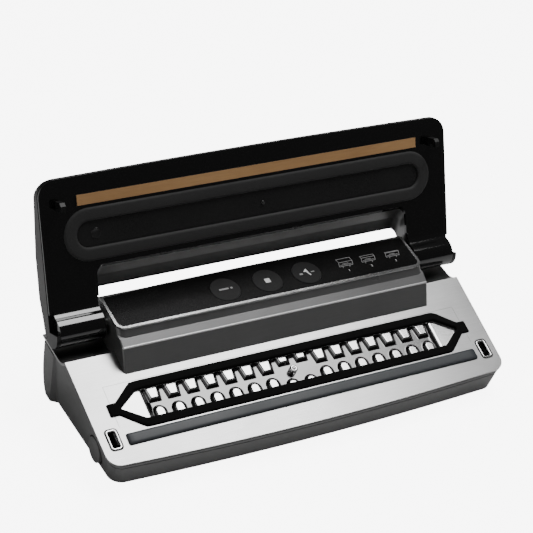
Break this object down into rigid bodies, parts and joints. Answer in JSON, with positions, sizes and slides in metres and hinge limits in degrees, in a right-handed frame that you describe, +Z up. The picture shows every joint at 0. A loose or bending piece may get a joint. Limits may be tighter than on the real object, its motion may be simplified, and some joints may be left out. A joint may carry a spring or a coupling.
{
  "type": "vacuum sealer",
  "caption": "Counter-top bag vacuum sealer: sloping deck with foam-ringed chamber and sealing bar, keypad housing, and a hinged lid with heated strip and latch hooks.",
  "frame": {"origin": "centre of the bounding box on the table, lid open", "axes": "+X to the right along the sealing bar, +Y to the rear, +Z up"},
  "size_m": [0.3688, 0.165, 0.1792],
  "materials": {
    "brushed_deck": "brushed",
    "housing_grey": "satin",
    "control_grey": "satin",
    "bright_trim": "polished",
    "panel_black": "gloss",
    "key_black": "gloss",
    "board_green": "matte",
    "foam_black": "matte foam",
    "tray_bright": "embossed bright",
    "nozzle_grey": "gloss",
    "silicone_blue": "satin",
    "inner_plastic": "matte",
    "release_dark": "satin",
    "spring_steel": "drawn wire",
    "pin_steel": "ground",
    "bush_white": "satin",
    "lid_silver": "satin metallic",
    "lid_black": "gloss",
    "ring_foam": "matte foam",
    "support_white": "matte",
    "wire_metal": "flat ribbon",
    "tape_brown": "coated glass cloth",
    "hook_metal": "stamped",
    "motor_metal": "satin",
    "pump_plastic": "satin",
    "core_steel": "lacquered",
    "hose_clear": "satin",
    "foot_rubber": "matte",
    "screw_steel": "zinc",
    "gland_black": "satin"
  },
  "bodies": {
    "base": {"deck_plate": "brushed_deck", "base_housing": "housing_grey", "bottom_plate": "inner_plastic", "bottom_screws": "screw_steel", "rubber_feet": "foot_rubber", "control_housing": "control_grey", "panel_bezel": "bright_trim", "control_panel": "panel_black", "control_board": "board_green", "chamber_gasket": "foam_black", "drip_tray": "tray_bright", "suction_nozzle": "nozzle_grey", "silicone_bar": "silicone_blue", "bar_channel": "inner_plastic", "latch_surround_left": "bright_trim", "latch_surround_right": "bright_trim", "latch_spring_left": "spring_steel", "latch_spring_right": "spring_steel", "spring_seat_left": "inner_plastic", "spring_seat_right": "inner_plastic", "hinge_pin_left": "pin_steel", "hinge_pin_right": "pin_steel", "hinge_bracket_left": "inner_plastic", "hinge_bracket_right": "inner_plastic", "vacuum_motor": "motor_metal", "pump_head": "pump_plastic", "transformer": "core_steel", "suction_hose": "hose_clear", "lid_switch_left": "inner_plastic", "lid_switch_right": "inner_plastic", "cable_gland": "gland_black"},
    "lid": {"lid_frame": "lid_black", "lid_cover": "lid_silver", "lid_gasket": "ring_foam", "lid_recess": "lid_black", "heater_support": "support_white", "heating_wire": "wire_metal", "release_tape": "tape_brown", "lid_hook_left": "hook_metal", "lid_hook_right": "hook_metal", "hinge_bush_left": "bush_white", "hinge_bush_right": "bush_white"},
    "seal_key": {"seal_button": "key_black"},
    "stop_key": {"stop_button": "key_black"},
    "vacuum_key": {"vacuum_button": "key_black"},
    "left_release": {"release_button_left": "release_dark", "latch_catch_left": "inner_plastic"},
    "right_release": {"release_button_right": "release_dark", "latch_catch_right": "inner_plastic"}
  },
  "joints": [
    {"name": "lid_hinge", "type": "hinge", "parent": "base", "child": "lid", "pos_m": [0, 0.03038, 0.06979], "axis": [1, 0, 0], "range_deg": [0, 132.9]},
    {"name": "seal_press", "type": "slide", "parent": "base", "child": "seal_key", "axis": [0, 0.1374, -0.9905], "range_m": [0, 0.0009], "stiffness_N_per_m": 600, "springref_m": -0.002},
    {"name": "stop_press", "type": "slide", "parent": "base", "child": "stop_key", "axis": [0, 0.1374, -0.9905], "range_m": [0, 0.0009], "stiffness_N_per_m": 600, "springref_m": -0.002},
    {"name": "vacuum_press", "type": "slide", "parent": "base", "child": "vacuum_key", "axis": [0, 0.1374, -0.9905], "range_m": [0, 0.0009], "stiffness_N_per_m": 600, "springref_m": -0.002},
    {"name": "left_release_press", "type": "slide", "parent": "base", "child": "left_release", "axis": [1, 0, 0], "range_m": [0, 0.0026], "stiffness_N_per_m": 500, "springref_m": -0.004},
    {"name": "right_release_press", "type": "slide", "parent": "base", "child": "right_release", "axis": [-1, 0, 0], "range_m": [0, 0.0026], "stiffness_N_per_m": 500, "springref_m": -0.004}
  ]
}
